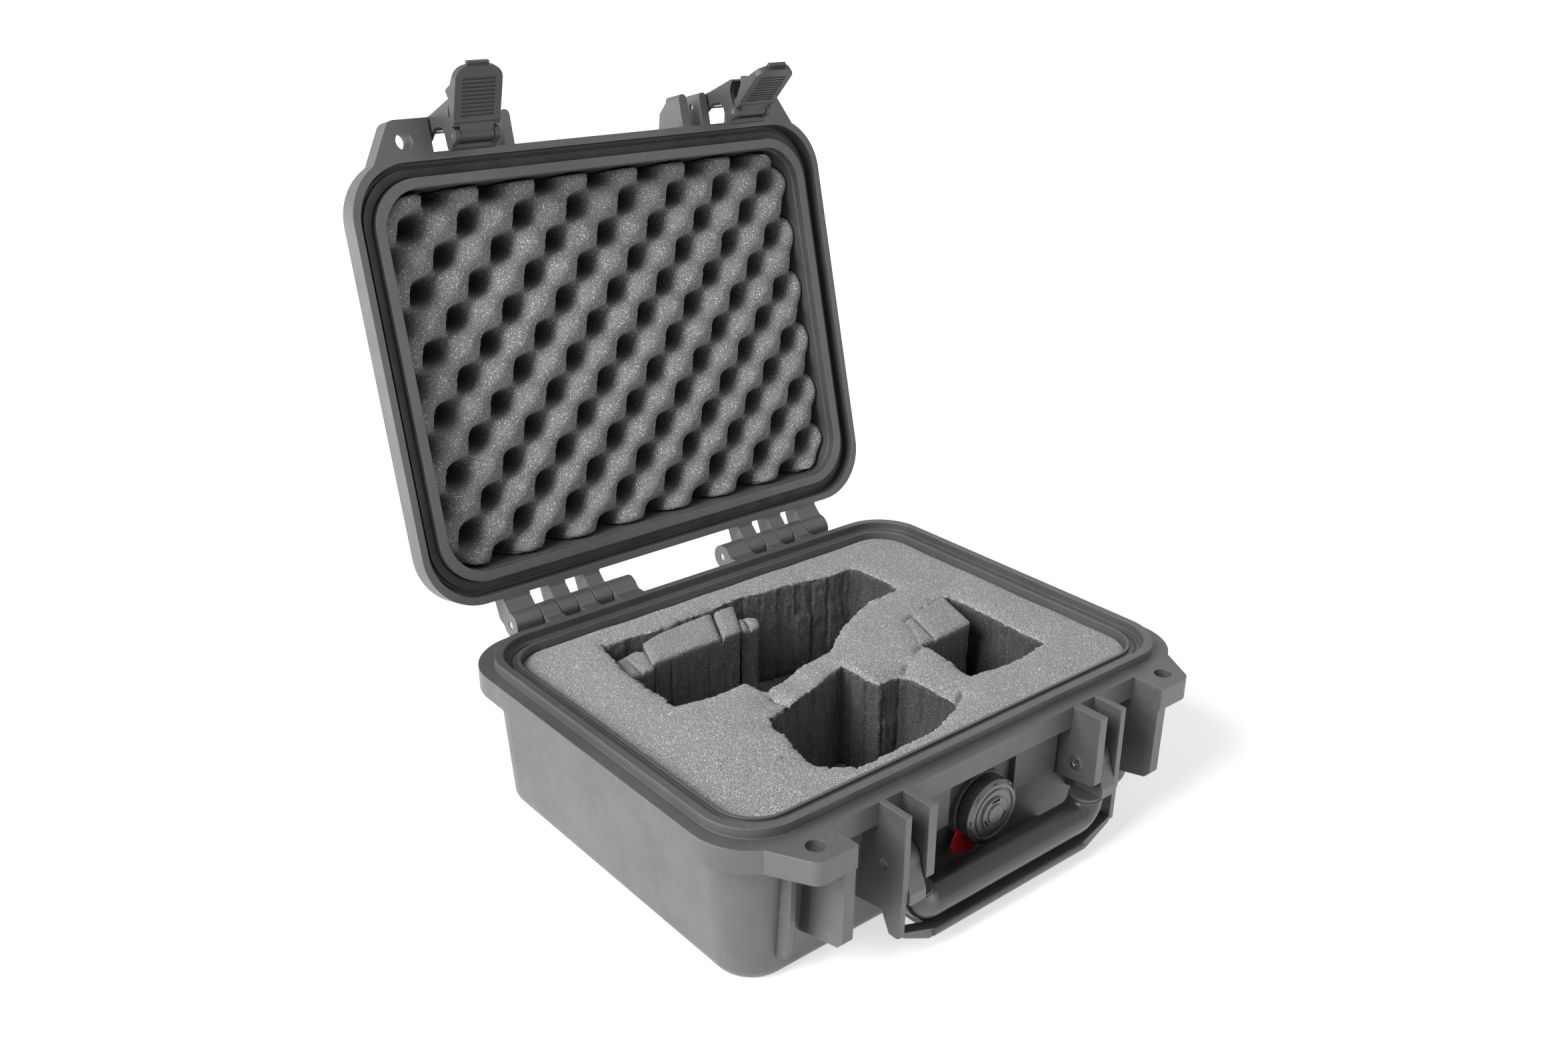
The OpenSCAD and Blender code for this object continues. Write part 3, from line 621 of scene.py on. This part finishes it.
pad_top, pad_loops = top_loops(nodes["base_foam_pad"])
pad = torn_block("foam_pad", pad_loops[0], [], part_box("base_foam_pad")[0].z, pad_top, 7.0, taper=0.3 * MM,
                 spacing=4 * MM, step=2 * MM, rows=4)
finish_piece(pad, "base_foam_pad", "base", "foam_dark")


# ---- standing foam cubes ------------------------------------------------------------------------
CUBE_SPREAD = 1.3 * MM          # how far the torn cubes' corners stand outside the CAD outline
# cuts between the cubes of each piece, from left to right
CUBE_SLITS = [[((-72, 47), (-70, 64), 1.2)], [((-24.6, 48), (-10.4, 75), 4)], [((-6, 50), (-2, 60), 2)],
              [((52, -18), (60, 5), 1.5)]]


def offcut_outlines():
    """Each offcut solid's plan outline and height span, from left to right."""
    me = nodes["foam_offcuts"].data
    co = np.array([v.co for v in me.vertices])
    keys = {}
    first = [keys.setdefault(tuple(np.round(c * 1e6).astype(int)), i) for i, c in enumerate(co)]
    parent = list(range(len(co)))

    def find(i):
        while parent[i] != i:
            i = parent[i]
        return i

    for p in me.polygons:
        a = find(first[p.vertices[0]])
        for v in p.vertices[1:]:
            parent[find(first[v])] = a
    groups = {}
    for i in range(len(co)):
        groups.setdefault(find(first[i]), []).append(i)
    found = []
    for members in groups.values():
        c = co[members]
        top = c[c[:, 2] > c[:, 2].max() - 1e-6][:, :2]
        top = np.unique(np.round(top, 7), axis=0)
        turn = np.arctan2(*(top - top.mean(0)).T[::-1])
        found.append((top[np.argsort(turn)], c[:, 2].min(), c[:, 2].max()))
    return sorted(found, key=lambda f: f[0][:, 0].min())


for i, (plan, low, high) in enumerate(offcut_outlines()):
    arms = plan - plan.mean(0)
    plan = plan + arms * (CUBE_SPREAD / np.linalg.norm(arms, axis=1))[:, None]
    cubes = torn_block(f"foam_cubes_{i}", plan, [], low, high, 11.0 + 5 * i, rag=0.6 * MM, step=0.8 * MM,
                       spacing=1.6 * MM, cut_outer=True, rows=16, wave=0.7 * MM,
                       slits=CUBE_SLITS[i % len(CUBE_SLITS)])
    finish_piece(cubes, "foam_offcuts", "base", "foam_dark")


# ---- lid foam, shaped shut and swung open with the lid --------------------------------------------
CRATE_X, CRATE_Y = 30 * MM, 29 * MM         # from pit to pit, across and along the lid
CRATE_AT = (-103 * MM, -73 * MM)            # middle of one pit
CRATE_DEPTH = 23 * MM
CRATE_GAP = 0.6 * MM                        # room between the foam and its CAD box
CRATE_CORNER = 19 * MM
CRATE_WOBBLE = 0.7 * MM                     # how far the pits stray from their grid
CRATE_COLUMNS, CRATE_ROWS, SIDE_ROWS = 190, 142, 8

hinge = joints["lid_hinge"]
swing = Matrix.Rotation(math.radians(-hinge["range_deg"][0]), 4, Vector(hinge["axis"]))
about = Matrix.Translation(Vector(hinge["pos_m"]))
OPEN = about @ swing @ about.inverted()
shut = np.array([(OPEN.inverted() @ v.co)[:] for v in nodes["lid_foam"].data.vertices])
lid_low, lid_high = shut.min(0), shut.max(0)


def egg_crate():
    hx, hy = lid_high[0] - CRATE_GAP, lid_high[1] - CRATE_GAP
    low, high = lid_low[2], lid_high[2]

    def half_width(y):
        over = max(0.0, abs(y) - (hy - CRATE_CORNER))
        return hx - (CRATE_CORNER - math.sqrt(max(0.0, CRATE_CORNER * CRATE_CORNER - over * over)))

    def front(x, y):
        """The open face's height, and how far inside a pit it lies, which sets the painted shade there."""
        u = (x + CRATE_WOBBLE * fbm(x / 0.04, y / 0.04, 1) - CRATE_AT[0]) / CRATE_X
        v = (y + CRATE_WOBBLE * fbm(x / 0.04, y / 0.04, 8) - CRATE_AT[1]) / CRATE_Y
        u, v = 2 * math.pi * u, 2 * math.pi * v
        wave = (1 + math.cos(u) * math.cos(v) - 0.25 * math.sin(u) * math.sin(v)) / 2
        t = min(1.0, max(0.0, (wave - 0.5) / 0.48))
        pit = t * t * (3 - 2 * t)
        hollow = (0.66 * pit + 0.34 * wave) * (1 + 0.1 * fbm(x / 0.03, y / 0.03, 4))
        edge = min(half_width(y) - abs(x), hy - abs(y))
        z = low + CRATE_GAP + CRATE_DEPTH * hollow + 1.6 * MM * math.exp(-max(edge, 0) / (1.6 * MM))
        return z + 0.12 * MM * fbm(x / 0.002, y / 0.002, 3, 2), min(1.0, 1.1 * pit + 0.12 * wave)

    points, painted_shade = [], []
    for j in range(CRATE_ROWS + 1):
        y = hy * (-1 + 2 * j / CRATE_ROWS)
        for i in range(CRATE_COLUMNS + 1):
            x = half_width(y) * (-1 + 2 * i / CRATE_COLUMNS)
            z, d = front(x, y)
            points.append((x, y, z))
            painted_shade.append(d)

    def at(i, j):
        return j * (CRATE_COLUMNS + 1) + i

    columns, rows = range(CRATE_COLUMNS), range(CRATE_ROWS)
    faces = [(at(i, j), at(i, j + 1), at(i + 1, j + 1), at(i + 1, j)) for j in rows for i in columns]
    rim = [at(i, 0) for i in columns] + [at(CRATE_COLUMNS, j) for j in rows]
    rim += [at(i, CRATE_ROWS) for i in range(CRATE_COLUMNS, 0, -1)]
    rim += [at(0, j) for j in range(CRATE_ROWS, 0, -1)]
    ring = rim
    for k in range(1, SIDE_ROWS + 1):
        t = k / SIDE_ROWS
        upper = []
        for i in rim:
            x, y, z = points[i]
            inset = 1.6 * MM * t - 0.5 * MM * math.sin(math.pi * t) * (1 + fbm(x / 0.01, y / 0.01, 2))
            s = 1 - inset / math.hypot(x, y)
            upper.append(len(points))
            points.append((x * s, y * s, z + (high - z) * t))
            # painted shade on the sides, half-way up its scale
            painted_shade.append(0.5)
        for a in range(len(rim)):
            b = (a + 1) % len(rim)
            faces.append((ring[a], ring[b], upper[b], upper[a]))
        ring = upper
    back_faces = fill(np.array([points[i][:2] for i in ring]), [], np.zeros((0, 2)))[1]
    faces += [tuple(ring[i] for i in f) for f in back_faces]
    return new_object("egg_crate_foam", [tuple(OPEN @ Vector(p)) for p in points], faces, painted_shade)


crate = egg_crate()
finish_piece(crate, "lid_foam", "lid", "foam", "crate")


# ---- stage and light ----------------------------------------------------------------------------
FLOOR_SIZE = 60.0
FLOOR_DROP = 0.0002             # how far the floor lies below the case
GLOW_NEAR, GLOW_FAR = 0.6, 1.1  # the floor's own light, where 1 shows as white
GLOW_FROM, GLOW_TO = 0.5, 1.6   # distances from the case over which it grows
GLOSSY_GLOW = 1.6               # shiny surfaces see the floor this many times brighter than the camera
WORLD_LIGHT = 0.28              # how strongly the world lights the case; it shows as white itself
LAMP_AIM = (0, 0, 0.1)


def make_floor():
    bpy.ops.mesh.primitive_plane_add(size=FLOOR_SIZE, location=(0, 0, cad_box[0].z - FLOOR_DROP))
    floor = bpy.context.object
    floor.name = "floor"
    g = Graph("floor_paper")
    floor.data.materials.append(g.mat)
    g.done(g.ramp(g.noise(2, 2), (0.3, 0.8), (0.7, 0.82)), 0.9, **{"Specular IOR Level": 0.1})
    seen = g.add("ShaderNodeLightPath").outputs
    clear = g.math("MAXIMUM", seen["Is Camera Ray"], seen["Is Transmission Ray"])
    ray = g.math("MAXIMUM", clear, g.times(seen["Is Glossy Ray"], GLOSSY_GLOW))
    far = g.add("ShaderNodeVectorMath", operation="LENGTH")
    g.link(g.coords, far.inputs[0])
    glow = g.span(far.outputs["Value"], GLOW_FROM, GLOW_TO, GLOW_NEAR, GLOW_FAR)
    g.shader.inputs["Emission Color"].default_value = (1, 1, 1, 1)
    g.link(g.times(ray, glow), g.shader.inputs["Emission Strength"])


def make_world():
    world = bpy.data.worlds.new("world")
    bpy.context.scene.world = world
    world.use_nodes = True
    tree = world.node_tree
    sky = tree.nodes["Background"]
    sky.inputs["Color"].default_value = (1, 1, 1, 1)
    seen = tree.nodes.new("ShaderNodeLightPath").outputs
    ray = seen["Is Camera Ray"]
    for kind in ("Is Glossy Ray", "Is Transmission Ray"):
        either = tree.nodes.new("ShaderNodeMath")
        either.operation = "MAXIMUM"
        tree.links.new(ray, either.inputs[0])
        tree.links.new(seen[kind], either.inputs[1])
        ray = either.outputs[0]
    strength = tree.nodes.new("ShaderNodeMapRange")
    tree.links.new(ray, strength.inputs["Value"])
    strength.inputs["To Min"].default_value = WORLD_LIGHT
    strength.inputs["To Max"].default_value = 1.0
    tree.links.new(strength.outputs["Result"], sky.inputs["Strength"])


def lamp(name, at, side, power):
    """A square area lamp, aimed at the case."""
    data = bpy.data.lights.new(name, "AREA")
    data.shape, data.size, data.size_y = "RECTANGLE", side, side
    data.energy = power
    o = bpy.data.objects.new(name, data)
    bpy.context.scene.collection.objects.link(o)
    o.location = at
    o.rotation_mode = "QUATERNION"
    o.rotation_quaternion = (Vector(LAMP_AIM) - Vector(at)).to_track_quat("-Z", "Y")


make_floor()
make_world()
lamp("key", (-2.1, 0.1, 1.5), 1.6, 105)
lamp("fill", (0.5, -1.8, 1.3), 1.4, 2.5)
bpy.context.scene.view_settings.view_transform = "Standard"
